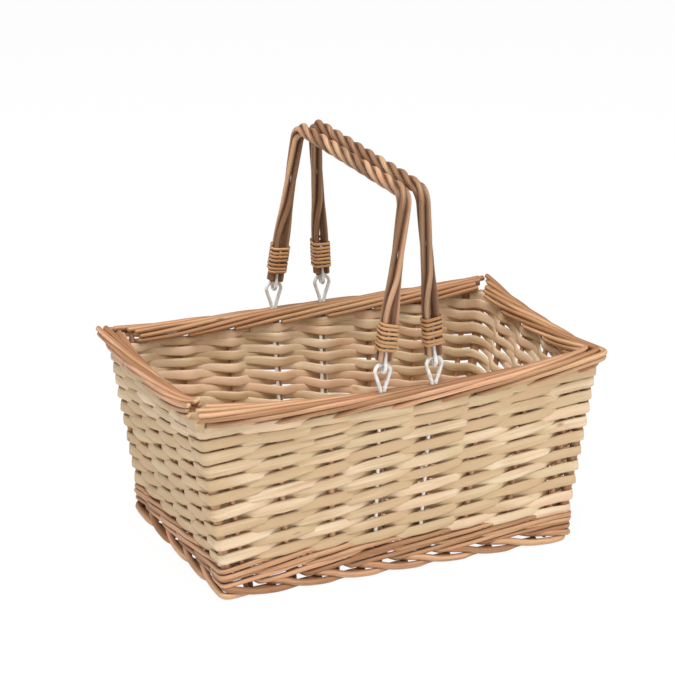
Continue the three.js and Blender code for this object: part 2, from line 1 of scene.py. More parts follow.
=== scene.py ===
import math
import bpy
import numpy as np
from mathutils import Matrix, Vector


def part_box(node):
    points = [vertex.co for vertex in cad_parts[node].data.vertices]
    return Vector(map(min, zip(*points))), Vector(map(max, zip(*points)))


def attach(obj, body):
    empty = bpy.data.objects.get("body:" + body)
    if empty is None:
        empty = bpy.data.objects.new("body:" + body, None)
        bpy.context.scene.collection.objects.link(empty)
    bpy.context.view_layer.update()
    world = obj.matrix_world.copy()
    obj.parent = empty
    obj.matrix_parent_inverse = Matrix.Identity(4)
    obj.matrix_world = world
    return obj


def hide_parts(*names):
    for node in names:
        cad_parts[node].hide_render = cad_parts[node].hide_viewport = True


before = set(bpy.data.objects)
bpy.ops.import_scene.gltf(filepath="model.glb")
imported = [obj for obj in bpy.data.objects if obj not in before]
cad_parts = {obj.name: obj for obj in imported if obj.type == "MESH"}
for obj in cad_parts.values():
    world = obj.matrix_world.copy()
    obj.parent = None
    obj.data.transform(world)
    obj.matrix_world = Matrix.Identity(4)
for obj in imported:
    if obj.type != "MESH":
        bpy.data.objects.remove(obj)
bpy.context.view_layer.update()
bpy.ops.object.select_all(action="DESELECT")

camera = {
    "turn": -23.49,  # degrees round the basket, 0 looks at the front
    "height": 19.51,
    "distance": 2.8399,
    "target": (-0.01409, 0, 0.18716),
    "lens": 150.9,
}


def addCamera(values):
    turn, height = math.radians(values["turn"]), math.radians(values["height"])
    back = Vector((math.sin(turn) * math.cos(height), -math.cos(turn) * math.cos(height), math.sin(height)))
    bpy.ops.object.camera_add(location=Vector(values["target"]) + back * values["distance"])
    made = bpy.context.object
    made.rotation_euler = back.to_track_quat("Z", "Y").to_euler()
    made.data.lens = values["lens"]
    made.data.sensor_width = 36
    made.data.clip_end = 60
    bpy.context.scene.camera = made


addCamera(camera)

light = {
    "world": 0.43,
    "floorGlow": 0.94,  # share of plain white in the floor as the camera sees it
    "key": {"place": (1.4, -1.35, 1.35), "size": 1.2, "watts": 15},
    "fill": {"place": (-1.9, -2.2, 1.3), "size": 2.4, "watts": 2},
    "top": {"place": (-0.4, -0.35, 2.4), "size": 1.8, "watts": 84},
    "aim": (0, 0, 0.15),
}


class Socket:
    def __init__(self, finish, socket):
        self.finish = finish
        self.socket = socket

    def join(self, operation, first, second):
        return self.finish.add("ShaderNodeMath", {"operation": operation}, [first, second])

    def __add__(self, other):
        return self.join("ADD", self, other)

    __radd__ = __add__

    def __sub__(self, other):
        return self.join("SUBTRACT", self, other)

    def __rsub__(self, other):
        return self.join("SUBTRACT", other, self)

    def __mul__(self, other):
        return self.join("MULTIPLY", self, other)

    __rmul__ = __mul__


class Finish:
    def __init__(self, name):
        self.material = bpy.data.materials.new(name)
        self.material.use_nodes = True
        self.tree = self.material.node_tree
        self.tree.nodes.clear()

    def add(self, kind, settings=None, values=(), output=0):
        node = self.tree.nodes.new(kind)
        for key, value in (settings or {}).items():
            setattr(node, key, value)
        pairs = values.items() if isinstance(values, dict) else enumerate(values)
        for key, value in pairs:
            if isinstance(value, Socket):
                self.tree.links.new(value.socket, node.inputs[key])
            elif value is not None:
                node.inputs[key].default_value = value
        return Socket(self, node.outputs[output]) if node.outputs else node

    def mix(self, factor, first, second):
        return self.add("ShaderNodeMix", {"data_type": "RGBA"}, {0: factor, 6: first, 7: second}, 2)

    def scaled(self, vector, factors):
        return self.add("ShaderNodeVectorMath", {"operation": "MULTIPLY"}, [vector, factors])

    def noise(self, vector, detail=2, roughness=0.5):
        values = {"Vector": vector, "Scale": 1, "Detail": detail, "Roughness": roughness}
        return self.add("ShaderNodeTexNoise", {}, values)

    def ramp(self, value, low, high):
        return self.add("ShaderNodeMapRange", {}, [value, low, high, 0, 1])

    def attribute(self, name):
        return self.add("ShaderNodeAttribute", {"attribute_name": name}, (), 2)

    def surface(self, shader):
        self.add("ShaderNodeOutputMaterial", {}, {"Surface": shader})
        return self.material


# A colour as a picture has it, 0 to 255, made linear for the shaders
def rgb(red, green, blue):
    channels = [value / 255 for value in (red, green, blue)]
    return (*[c / 12.92 if c <= 0.04045 else ((c + 0.055) / 1.055) ** 2.4 for c in channels], 1)


def addStage():
    world = bpy.data.worlds.new("studio")
    bpy.context.scene.world = world
    world.use_nodes = True
    nodes, links = world.node_tree.nodes, world.node_tree.links
    nodes.clear()
    path = nodes.new("ShaderNodeLightPath")
    seen = nodes.new("ShaderNodeMath")
    seen.operation = "MAXIMUM"
    links.new(path.outputs["Is Camera Ray"], seen.inputs[0])
    links.new(path.outputs["Is Transmission Ray"], seen.inputs[1])
    soft = nodes.new("ShaderNodeBackground")
    soft.inputs[1].default_value = light["world"]
    white = nodes.new("ShaderNodeBackground")
    mixed = nodes.new("ShaderNodeMixShader")
    out = nodes.new("ShaderNodeOutputWorld")
    for node in (soft, white):
        node.inputs[0].default_value = (1, 1, 1, 1)
    links.new(seen.outputs[0], mixed.inputs[0])
    links.new(soft.outputs[0], mixed.inputs[1])
    links.new(white.outputs[0], mixed.inputs[2])
    links.new(mixed.outputs[0], out.inputs[0])

    finish = Finish("floorWhite")
    paint = {"Base Color": (0.9, 0.9, 0.9, 1), "Roughness": 0.9}
    diffuse = finish.add("ShaderNodeBsdfPrincipled", {}, paint)
    glow = finish.add("ShaderNodeEmission", {}, {"Color": (1, 1, 1, 1), "Strength": 1})
    cameraRay = finish.add("ShaderNodeLightPath", {}, (), 0)
    glossyRay = finish.add("ShaderNodeLightPath", {}, (), 3)
    seenFloor = finish.add("ShaderNodeMath", {"operation": "MAXIMUM"}, [cameraRay, glossyRay])
    finish.surface(finish.add("ShaderNodeMixShader", {}, [seenFloor * light["floorGlow"], diffuse, glow]))
    bpy.ops.mesh.primitive_plane_add(size=14, location=(0, 0, 0))
    floor = bpy.context.object
    floor.name = "floor"
    floor.data.materials.append(finish.material)
    for name in ("key", "fill", "top"):
        lamp = light[name]
        bpy.ops.object.light_add(type="AREA", location=lamp["place"])
        made = bpy.context.object
        made.name = name + "Light"
        made.data.size = lamp["size"]
        made.data.energy = lamp["watts"]
        aim = Vector(light["aim"]) - Vector(lamp["place"])
        made.rotation_euler = aim.to_track_quat("-Z", "Y").to_euler()
    bpy.context.scene.view_settings.view_transform = "Standard"
    print("stage and lights")


addStage()

# In each look below, the colour after knot and the share after it paint shade on the sides of each rod that
# face its neighbours
paleWillow = {
    "light": rgb(228, 208, 176),
    "dark": rgb(194, 164, 126),
    "warm": rgb(218, 184, 152),
    "cool": rgb(204, 184, 146),
    "knot": rgb(150, 106, 66),
    "paintedCreviceShade": rgb(164, 130, 92),
    "paintedShadeShare": 0.4,
    "roughness": 0.56,
    "bump": 0.4,
    "contrast": (0.37, 0.69),
}
brownWillow = {
    "light": rgb(214, 172, 132),
    "dark": rgb(156, 110, 73),
    "warm": rgb(202, 146, 112),
    "cool": rgb(200, 162, 118),
    "knot": rgb(96, 58, 34),
    "paintedCreviceShade": rgb(104, 64, 36),
    "paintedShadeShare": 0.75,
    "roughness": 0.5,
    "bump": 0.45,
    "contrast": (0.35, 0.7),
}
handleWillow = {
    "light": rgb(194, 154, 118),
    "dark": rgb(128, 90, 62),
    "warm": rgb(176, 128, 98),
    "cool": rgb(172, 144, 108),
    "knot": rgb(84, 52, 32),
    "paintedCreviceShade": rgb(78, 48, 28),
    "paintedShadeShare": 0.85,
    "roughness": 0.5,
    "bump": 0.45,
    "contrast": (0.38, 0.66),
}
stakeWillow = {
    "light": rgb(196, 152, 114),
    "dark": rgb(142, 104, 74),
    "warm": rgb(180, 130, 98),
    "cool": rgb(180, 146, 106),
    "knot": rgb(84, 50, 30),
    "paintedCreviceShade": rgb(120, 76, 48),
    "paintedShadeShare": 0.3,
    "roughness": 0.55,
    "bump": 0.4,
    "contrast": (0.35, 0.7),
}
splitCane = {
    "light": rgb(206, 162, 114),
    "dark": rgb(158, 112, 70),
    "warm": rgb(194, 142, 98),
    "cool": rgb(186, 150, 102),
    "knot": rgb(140, 92, 54),
    "paintedCreviceShade": rgb(120, 78, 44),
    "paintedShadeShare": 0.7,
    "roughness": 0.42,
    "bump": 0.3,
    "contrast": (0.33, 0.73),
}


cutWood = rgb(226, 200, 160)
grain = {  # waves in a metre, along a rod and round it
    "fine": (22, 800, 1),
    "streak": (9, 330, 1),
    "patch": (11, 40, 1),
    "tint": (5, 14, 1),
    "speck": (170, 700, 1),
    "knots": (17, 60, 1),
}


def willowFinish(name, look):
    finish = Finish(name)
    grainMap = finish.add("ShaderNodeUVMap", {"uv_map": "grain"})
    places = {key: finish.scaled(grainMap, waves) for key, waves in grain.items()}
    fine = finish.noise(places["fine"], 3, 0.6)
    streak = finish.noise(places["streak"], 2, 0.5)
    patch = finish.noise(places["patch"], 2, 0.5)
    tint = finish.noise(places["tint"], 1, 0.5)
    speck = finish.noise(places["speck"], 2, 0.6)
    knots = finish.add("ShaderNodeTexVoronoi", {}, {"Vector": places["knots"], "Scale": 1})
    knot = 1 - finish.ramp(knots, 0.03, 0.11)
    tone = finish.attribute("tone")
    cut = finish.attribute("cut")
    edge = finish.attribute("edge")
    shade = finish.ramp(fine * 0.45 + streak * 0.55 + tone * 0.3, *look["contrast"])
    body = finish.mix(shade, look["dark"], look["light"])
    warmed = finish.mix(finish.ramp(patch + tone * 0.25, 0.47, 0.8), body, look["warm"])
    cooled = finish.mix(finish.ramp(tint, 0.5, 0.72) * 0.7, warmed, look["cool"])
    specked = finish.mix(finish.ramp(speck, 0.62, 0.8) * 0.3, cooled, look["dark"])
    knotted = finish.mix(knot * 0.75, specked, look["knot"])
    # painted shade: darkens the sides of each rod that face its neighbours
    shadeDarkened = finish.mix(finish.ramp(edge, 0.3, 1) * look["paintedShadeShare"], knotted, look["paintedCreviceShade"])
    ended = finish.mix(cut * 0.7, shadeDarkened, cutWood)
    height = fine * 0.6 + streak * 0.7 - knot * 0.5
    relief = {"Strength": look["bump"], "Distance": 0.0006, "Height": height}
    bump = finish.add("ShaderNodeBump", {}, relief)
    shader = finish.add("ShaderNodeBsdfPrincipled", {}, {
        "Base Color": ended,
        "Roughness": fine * 0.25 + (look["roughness"] - 0.12),
        "Normal": bump,
        "Specular IOR Level": 0.42,
    })
    return finish.surface(shader)


wireLook = {"light": rgb(226, 224, 220), "dark": rgb(192, 190, 186)}


def wireFinish(name):
    finish = Finish(name)
    grainMap = finish.add("ShaderNodeUVMap", {"uv_map": "grain"})
    scuff = finish.noise(finish.scaled(grainMap, (180, 420, 1)), 3, 0.6)
    wave = finish.noise(finish.scaled(grainMap, (45, 90, 1)), 1, 0.5)
    colour = finish.mix(finish.ramp(scuff, 0.4, 0.75), wireLook["light"], wireLook["dark"])
    bump = finish.add("ShaderNodeBump", {}, {"Strength": 0.2, "Distance": 0.0003, "Height": wave})
    shader = finish.add("ShaderNodeBsdfPrincipled", {}, {
        "Base Color": colour, "Roughness": scuff * 0.2 + 0.2, "Normal": bump, "Coat Weight": 0.25})
    return finish.surface(shader)


finishes = {
    "pale_willow": willowFinish("paleWillow", paleWillow),
    "brown_willow": willowFinish("brownWillow", brownWillow),
    "handle_willow": willowFinish("handleWillow", handleWillow),
    "stake_willow": willowFinish("stakeWillow", stakeWillow),
    "cane": willowFinish("splitCane", splitCane),
    "coated_wire": wireFinish("coatedWire"),
}
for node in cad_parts.values():
    node.data.materials.clear()
    node.data.materials.append(finishes["brown_willow"])
print("finishes")

# The walls' middle surface, in metres, as the solids have it. Sides go round front, right, back, left.
wall = {
    "floorCorner": (0.1725, 0.112),
    "topCorner": (0.2005, 0.1175),
    "bow": (0.014, 0.003),  # long sides, short sides
    "weaveTop": 0.174,
    "cornerRise": 0.008,
    "cornerRound": 0.0065,  # rods start to turn this far before a corner
    "halfSide": (0.186, 0.115),  # long, short: for distances along a side
    "stakes": (8, 4),
    "spacing": (0.26, 0.4),  # between stakes, as a share of half a side
    "wired": (3, 4),  # on the long sides, hinge wires run beside these stakes
    "cornerPhase": 0.1,  # a corner post and its stake share a unit, and stand this far from its middle
}
everywhere = (-np.inf, np.inf)
alongWay = np.array([(1, 0), (0, 1), (-1, 0), (0, -1)], float)
outWay = np.array([(0, -1), (1, 0), (0, 1), (-1, 0)], float)


def weaveTopAt(t):
    return wall["weaveTop"] + wall["cornerRise"] * np.abs(t) ** 3


def sidePoint(side, t, z, out):
    isLong = side % 2 == 0
    floorX, floorY = wall["floorCorner"]
    topX, topY = wall["topCorner"]
    share = z / weaveTopAt(t)
    along = t * (np.where(isLong, floorX + (topX - floorX) * share, floorY + (topY - floorY) * share) + out)
    bow = np.where(isLong, *wall["bow"]) * share * (1 - t * t)
    away = np.where(isLong, floorY + (topY - floorY) * share, floorX + (topX - floorX) * share) + bow + out
    flat = alongWay[side] * along[:, None] + outWay[side] * away[:, None]
    return np.column_stack([flat, z])


# A point on the way round: w runs from 0 to 4, one for each side, and corners are rounded. On a run of
# rods that is cut off at its first and last corner, these go straight on there.
def ringPoint(w, z, out, run=everywhere, roundness=None):
    w, z, out = np.broadcast_arrays(np.asarray(w, float), np.asarray(z, float), np.asarray(out, float))
    roundness = roundness or wall["cornerRound"]
    whole = np.clip(np.floor(w), run[0], run[1] - 1)
    side = whole.astype(int) % 4
    t = 2 * (w - whole) - 1
    half = np.where(side % 2 == 0, *wall["halfSide"])
    otherHalf = np.where(side % 2 == 1, *wall["halfSide"])
    toCorner = (1 - np.abs(t)) * half
    nearest = whole + (t > 0)
    turning = (toCorner < roundness) & (nearest > run[0]) & (nearest < run[1])
    f = np.clip(0.5 - 0.5 * toCorner / roundness, 0, 0.5)[:, None]
    way = np.where(t > 0, 1.0, -1.0)
    other = (side + way.astype(int)) % 4
    before = sidePoint(side, way * (1 - roundness / half), z, out)
    corner = sidePoint(side, way, z, out)
    after = sidePoint(other, -way * (1 - roundness / otherHalf), z, out)
    rounded = (1 - f) ** 2 * before + 2 * f * (1 - f) * corner + f ** 2 * after
    return np.where(turning[:, None], rounded, sidePoint(side, t, z, out))


# Uprights in order round the basket: (w, unit, at a corner, beside a hinge wire). A corner post and the
# stake beside it count as one unit.
def listUprights():
    found = []
    unit = 0
    for side in range(4):
        count, spacing = wall["stakes"][side % 2], wall["spacing"][side % 2]
        found.append((side, unit, True, False))
        for k in range(count):
            t = (k - (count - 1) / 2) * spacing
            if side % 2 == 1 or k > 0:
                unit += 1
            found.append((side + (t + 1) / 2, unit, False, side % 2 == 0 and k in wall["wired"]))
        if side % 2 == 1:
            unit += 1
    return found


uprights = listUprights()
unitCount = 24
uprightW = np.array([u[0] for u in uprights] + [4.0])
uprightUnit = np.array([u[1] for u in uprights] + [unitCount])
isCorner = np.array([u[2] for u in uprights] + [True])
hasWire = np.array([u[3] for u in uprights] + [False])
uprightPhase = uprightUnit.astype(float)
for here in range(len(uprightW)):
    shared = np.flatnonzero(uprightUnit % unitCount == uprightUnit[here] % unitCount)
    if len(shared) > 1:
        first = isCorner[here] == (uprightUnit[here] % (unitCount // 2) == 0)
        uprightPhase[here] += -wall["cornerPhase"] if first else wall["cornerPhase"]


# Which upright a phase comes after, and how far it is towards the next one
def findSpan(phase):
    turns = np.floor((phase + wall["cornerPhase"]) / unitCount)
    local = phase - turns * unitCount
    k = np.clip(np.searchsorted(uprightPhase, local, side="right") - 1, 0, len(uprightPhase) - 2)
    f = (local - uprightPhase[k]) / (uprightPhase[k + 1] - uprightPhase[k])
    return turns, k, f


def phaseToW(phase):
    turns, k, f = findSpan(phase)
    return uprightW[k] + (uprightW[k + 1] - uprightW[k]) * f + 4 * turns


# A rod comes out soon after the upright that it passes behind
def comingOut(f):
    near = np.clip(f / 0.45, 0, 1)
    return 0.7 * near * near * (3 - 2 * near) + 0.3 * f


# Offsets that pass each upright on one side or the other, with a smooth swing between them
def weaveOffset(phase, outsideAt, reach):
    turns, k, f = findSpan(phase)
    ends, sides = [], []
    for upright in (k, k + 1):
        unit = uprightUnit[upright] + turns * unitCount
        outside = outsideAt(np.round(unit).astype(int))
        plain = np.where(outside, reach["out"], -reach["in"])
        corner = np.where(outside, reach["cornerOut"], -reach["cornerIn"])
        wired = np.where(outside, reach["wireOut"], -reach["wireIn"])
        ends.append(np.where(isCorner[upright], corner, np.where(hasWire[upright], wired, plain)))
        sides.append(outside)
    swing = (1 - np.cos(np.pi * f)) / 2
    swing = np.where(sides[0] & ~sides[1], 1 - comingOut(1 - f), swing)
    swing = np.where(sides[1] & ~sides[0], comingOut(f), swing)
    return ends[0] * (1 - swing) + ends[1] * swing


def steppedPhase(phase, amount):
    turns, k, f = findSpan(phase)
    sameUnit = uprightUnit[k] == uprightUnit[k + 1]
    eased = np.where(sameUnit, f, f - amount * np.sin(2 * np.pi * f) / (2 * np.pi))
    return uprightPhase[k] + (uprightPhase[k + 1] - uprightPhase[k]) * eased + turns * unitCount


def smoothNoise(rng, count, step, spread):
    knots = rng.normal(0, spread, int(count / step) + 3)
    x = np.arange(count) / step
    k = x.astype(int)
    f = x - k
    f = f * f * (3 - 2 * f)
    return knots[k] * (1 - f) + knots[k + 1] * f


def unit3(vectors):
    return vectors / np.maximum(np.linalg.norm(vectors, axis=1), 1e-12)[:, None]


def lengthAlong(path):
    return np.concatenate([[0], np.cumsum(np.linalg.norm(np.diff(path, axis=0), axis=1))])


rodEnd = {"lip": 0.3, "narrow": 0.72, "dome": 0.25}  # as shares of a rod's half size, but dome of its lip
grainShift = np.array([1.37, 0.211])  # from one rod's grain to the next one's


# Gathers swept rods and makes them one mesh. A rod has half its size outward and half across, tone for its
# colour, corners and squareness for its section, cut for pale ends, and roll for its turn about itself.
class RodPile:
    def __init__(self):
        self.points, self.quads, self.fans = [], [], []
        self.quadMap, self.fanMap = [], []
        self.marks = {"tone": [], "cut": [], "edge": []}
        self.count = 0

    def add(self, path, outward, halfOut, halfTall, tone=0.0, seed=0, corners=10, square=2.0, cut=0.0,
            roll=0.0):
        rings = len(path)
        halfOut = np.broadcast_to(halfOut, rings).astype(float)
        halfTall = np.broadcast_to(halfTall, rings).astype(float)
        roll = np.broadcast_to(roll, rings).astype(float)[:, None]
        tone = np.broadcast_to(tone, rings).astype(float)
        tangent = unit3(np.gradient(path, axis=0))
        tall = unit3(np.cross(tangent, outward))
        out = np.cross(tall, tangent)
        out, tall = out * np.cos(roll) + tall * np.sin(roll), tall * np.cos(roll) - out * np.sin(roll)
        angle = 2 * np.pi * np.arange(corners) / corners
        c, s = np.cos(angle), np.sin(angle)
        c = np.sign(c) * np.abs(c) ** (2 / square)
        s = np.sign(s) * np.abs(s) ** (2 / square)
        length = lengthAlong(path)
        lip = rodEnd["lip"] * min(halfOut[0], halfTall[0])
        centres = np.vstack([path[:1] - tangent[:1] * lip, path, path[-1:] + tangent[-1:] * lip])
        index = np.concatenate([[0], np.arange(rings), [rings - 1]])
        shrink = np.ones(rings + 2)
        shrink[[0, -1]] = rodEnd["narrow"]
        sizeOut, sizeTall = c * (halfOut[index] * shrink)[:, None], s * (halfTall[index] * shrink)[:, None]
        ring = centres[:, None, :] + out[index][:, None, :] * sizeOut[:, :, None] \
            + tall[index][:, None, :] * sizeTall[:, :, None]
        total = rings + 2
        dome = lip * rodEnd["dome"]
        poles = np.array([centres[0] - tangent[0] * dome, centres[-1] + tangent[-1] * dome])
        start = self.count
        i, k = np.meshgrid(np.arange(total - 1), np.arange(corners), indexing="ij")
        i, k = i.ravel(), k.ravel()
        following = (k + 1) % corners
        here, ahead = start + i * corners, start + (i + 1) * corners
        self.quads.append(np.column_stack([here + k, here + following, ahead + following, ahead + k]))
        around = np.pi * (halfOut.mean() + halfTall.mean()) / corners
        offset = seed * grainShift
        u = np.concatenate([[-lip], length, [length[-1] + lip]])

        def corner(row, column):
            return np.column_stack([u[row], column * around]) + offset

        quad = [corner(i, k), corner(i, k + 1), corner(i + 1, k + 1), corner(i + 1, k)]
        self.quadMap.append(np.stack(quad, 1))
        k = np.arange(corners)
        following = (k + 1) % corners
        last = (total - 1) * corners
        poleStart = start + total * corners
        firstPole, lastPole = np.full(corners, poleStart), np.full(corners, poleStart + 1)
        self.fans.append(np.vstack([
            np.column_stack([firstPole, start + following, start + k]),
            np.column_stack([lastPole, start + last + k, start + last + following])]))
        zero, end = np.zeros(corners, int), np.full(corners, total - 1)
        self.fanMap.append(np.vstack([
            np.stack([corner(zero, k), corner(zero, k + 1), corner(zero, k)], 1),
            np.stack([corner(end, k), corner(end, k), corner(end, k + 1)], 1)]))
        self.points.append(np.vstack([ring.reshape(-1, 3), poles]))
        self.marks["tone"].append(np.concatenate([np.repeat(tone[index], corners), tone[[0, -1]]]))
        ended = np.zeros(total * corners + 2)
        ended[:corners] = cut
        ended[last:] = cut
        self.marks["cut"].append(ended)
        # marks the sides of each rod that face its neighbours, for painted shade
        self.marks["edge"].append(np.concatenate([np.tile(np.abs(s) ** 3, total), [0, 0]]))
        self.count += total * corners + 2

    def build(self, name, slot, body, *nodes, finish=None):
        quads, fans = np.vstack(self.quads), np.vstack(self.fans)
        mesh = bpy.data.meshes.new(name)
        mesh.from_pydata(np.vstack(self.points).tolist(), [], quads.tolist() + fans.tolist())
        layer = mesh.uv_layers.new(name="grain")
        flat = np.concatenate([np.vstack(part).reshape(-1) for part in (self.quadMap, self.fanMap)])
        layer.data.foreach_set("uv", flat.astype(np.float32))
        for key, values in self.marks.items():
            attribute = mesh.attributes.new(key, "FLOAT", "POINT")
            attribute.data.foreach_set("value", np.concatenate(values).astype(np.float32))
        mesh.shade_smooth()
        mesh.materials.append(finishes[finish or slot])
        made = bpy.data.objects.new(name, mesh)
        bpy.context.scene.collection.objects.link(made)
        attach(made, body)
        if nodes:
            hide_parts(*nodes)
        print(name, len(quads) * 2 + len(fans), "triangles")


def outwardOn(w, z, out, *run):
    return unit3(ringPoint(w, z, out + 0.0005, *run) - ringPoint(w, z, out - 0.0005, *run))


sideNames = ["front", "right", "back", "left"]

# Walls of split willow: each skein climbs one row while it goes round two uprights
weave = {
    "startBefore": 0.2,  # in units, before the upright that a skein starts behind
    "pastTop": 0.006,  # a skein runs on this far behind the rim
    "rows": [0.0335, 0.049, 0.064, 0.0795, 0.0955, 0.111, 0.1255, 0.14, 0.153, 0.166, 0.178, 0.19, 0.202],
    "rowDrop": 0.01,  # the rows sink along the front, and climb again round the other sides
    "aboveWale": 0.0035,
    "belowTop": 0.0032,  # how close to the wale and the rim a skein's middle comes
    "softening": 0.0012,  # how gently a skein bends into the wale and the rim
    "thickness": 0.0023,
    "tallAtUpright": 0.0117,
    "tallBetween": 0.0101,
    "tallShares": ([0, 0.95, 1.05, 1.95, 2.05, 2.95, 3.05, 4], [1, 1, 0.84, 0.84, 0.9, 0.9, 1, 1]),
    "tallSpread": (0.93, 1.06),
    "squareness": 2.7,
    "climbEase": 0.12,  # skeins run more level past the uprights
    "reach": {
        "out": 0.0038,
        "in": 0.0038,
        "cornerOut": 0.0062,
        "cornerIn": 0.0028,
        "wireOut": 0.0056,
        "wireIn": 0.0056,
    },
    "wander": {"row": 0.045, "out": 0.00022, "tall": 0.05, "tone": 0.25, "roll": 0.07},
    # painted light and shade by wall: the left wall's skeins are toned darker, the right and back walls'
    # lighter
    "paintedWallLight": ([0, 0.96, 1.04, 2.96, 3.04, 3.96, 4], [-0.3, -0.3, 0.5, 0.5, -1.1, -1.1, -0.3]),
    "ringsPerUnit": 13,
}


def rowSinkAt(w):
    w = np.mod(w, 4)
    f = np.clip((2 * w - 0.65) / 1.45, 0, 1)
    return weave["rowDrop"] * np.where(w < 1, f * f * (3 - 2 * f), 1 - (w - 1) / 3)


# The wale isn't level either: how far its top sinks by the way round
waleTop = {
    "height": 0.034,
    "places": [0, 0.2, 0.4, 0.55, 0.75, 1, 4],
    "sinks": [0.0045, 0.0005, 0, 0.003, 0.0055, 0.0065, 0.0045],
}


def waleTopAt(w):
    return waleTop["height"] - np.interp(np.mod(w, 4), waleTop["places"], waleTop["sinks"])


def softest(first, second, bend):
    return bend * np.logaddexp(first / bend, second / bend)


def addWeave():
    rng = np.random.default_rng(7)
    wander, soft = weave["wander"], weave["softening"]
    starts = {0: range(0, 7), 1: range(7, 12), 2: range(12, 19), 3: range(19, 24)}
    for side, skeins in starts.items():
        pile = RodPile()
        for j in skeins:
            phase = np.arange(j - weave["startBefore"], j + unitCount, 1 / weave["ringsPerUnit"])
            w = phaseToW(phase)
            t = 2 * (w - np.floor(w)) - 1
            row = (steppedPhase(phase, weave["climbEase"]) - j) / 2
            row = row + smoothNoise(rng, len(phase), 11, wander["row"])
            free = np.interp(row, np.arange(len(weave["rows"])), weave["rows"]) - rowSinkAt(w)
            highest = weaveTopAt(t) - weave["belowTop"]
            last = int(np.argmax(free > highest + weave["pastTop"]))
            phase, w, free, highest = phase[:last], w[:last], free[:last], highest[:last]
            z = softest(free, waleTopAt(w) + weave["aboveWale"], soft)
            z = -softest(-z, -highest, soft)
            out = weaveOffset(phase, lambda unit: (unit - j) % 2 == 1, weave["reach"])
            out = out + smoothNoise(rng, last, 6, wander["out"])
            path = ringPoint(w, z, out)
            turns, k, f = findSpan(phase)
            sameUnit = uprightUnit[k] == uprightUnit[k + 1]
            nearUpright = np.where(sameUnit, 1, np.abs(np.cos(np.pi * f))) ** 1.6
            tall = weave["tallBetween"] + (weave["tallAtUpright"] - weave["tallBetween"]) * nearUpright
            tall = tall * rng.uniform(*weave["tallSpread"])
            tall = tall * (1 + smoothNoise(rng, last, 7, wander["tall"]))
            tall = tall * np.interp(np.mod(w, 4), *weave["tallShares"])
            tone = rng.normal(0, 0.5) + smoothNoise(rng, last, 9, wander["tone"])
            # adds painted shade on the left wall and painted light on the right and back walls to the
            # skein's tone
            tone = tone + np.interp(np.mod(w, 4), *weave["paintedWallLight"])
            roll = smoothNoise(rng, last, 8, wander["roll"])
            pile.add(path, outwardOn(w, z, out), weave["thickness"] / 2, tall / 2, tone, j + 1, 10,
                     weave["squareness"], roll=roll)
        name = sideNames[side]
        pile.build("weave_skeins_" + name, "pale_willow", "basket", "weave_" + name)


addWeave()

# Uprights: straight willow stakes, each with a rod's end tucked in beside it, and a thicker post at
# each corner
stake = {
    "radius": 0.0026,
    "foot": 0.006,
    "footIn": 0.0026,  # its lower end stands this far in, inside the wale
    "topAboveWeave": 0.0112,
    "tuckRadius": (0.0024, 0.0026),
    "tuckHeights": (0.0035, 0.017),
    "tuckIn": 0.003,
    "tuckBeside": (0.0047 / 0.372, 0.0047 / 0.236),  # on long and short sides, as a share of a side
    "postRadius": 0.0048,
    "postFoot": 0.012,
}
cornerNames = ["front_left", "front_right", "back_right", "back_left"]


def addUprights():
    rng = np.random.default_rng(11)
    rings = 24
    for side, sideName in enumerate(sideNames):
        pile = RodPile()
        for w, unit, corner, wired in uprights:
            if int(w) != side or corner:
                continue
            t = 2 * (w - side) - 1
            place = np.full(rings, w)
            z = np.linspace(stake["foot"], weaveTopAt(t) + stake["topAboveWeave"], rings)
            inward = -stake["footIn"] * np.clip((0.018 - z) / 0.012, 0, 1)
            radius = stake["radius"] * rng.uniform(0.92, 1.1)
            wide = radius * rng.uniform(1, 1.15)
            outward = outwardOn(place, z, inward)
            pile.add(ringPoint(place, z, inward), outward, radius, wide, rng.normal(0, 0.4), 40 + unit, 10)
            z = np.linspace(*stake["tuckHeights"], 5)
            path = ringPoint(np.full(5, w + stake["tuckBeside"][side % 2]), z, -stake["tuckIn"])
            outward = outwardOn(np.full(5, w), z, -stake["tuckIn"])
            pile.add(path, outward, *stake["tuckRadius"], rng.normal(-0.3, 0.3), 70 + unit, 8)
        pile.build("stakes_" + sideName, "stake_willow", "basket", "stakes_and_foot_" + sideName)
    for side, name in enumerate(cornerNames):
        pile = RodPile()
        z = np.linspace(stake["postFoot"], weaveTopAt(1) - 0.0005, rings)
        path = sidePoint(np.full(rings, side), np.full(rings, -1.0), z, np.zeros(rings))
        outward = np.tile((1.0, 0, 0), (rings, 1))
        radius = stake["postRadius"]
        pile.add(path, outward, radius, radius, rng.normal(0, 0.3), 100 + side, 14)
        pile.build("corner_post_rod_" + name, "stake_willow", "basket", "corner_post_" + name)


addUprights()

# Wale: rounds of three brown rods, each in front of two uprights and behind the third
wale = {
    "firstHeight": 0.0112,
    "rodHeight": 0.0052,
    "halfOut": 0.0024,
    "halfTall": 0.0029,
    "squareness": 2.2,
    "rounds": 2,
    "roundRise": 2,  # in rod heights
    "bandRods": 4.5,
    "ringsPerUnit": 12,
    "endGap": 0.08,
    "strokeSteps": [0, 0.42, 2.55, 3],  # in units from the upright that a rod passes behind
    "strokeRises": [1.5, 0.1, 2.9, 1.5],
    "lean": 0.0007,  # a stroke starts this far over the one before it
    "reach": {
        "out": 0.0049,
        "in": 0.005,
        "cornerOut": 0.007,
        "cornerIn": 0.0036,
        "wireOut": 0.0049,
        "wireIn": 0.005,
    },
}


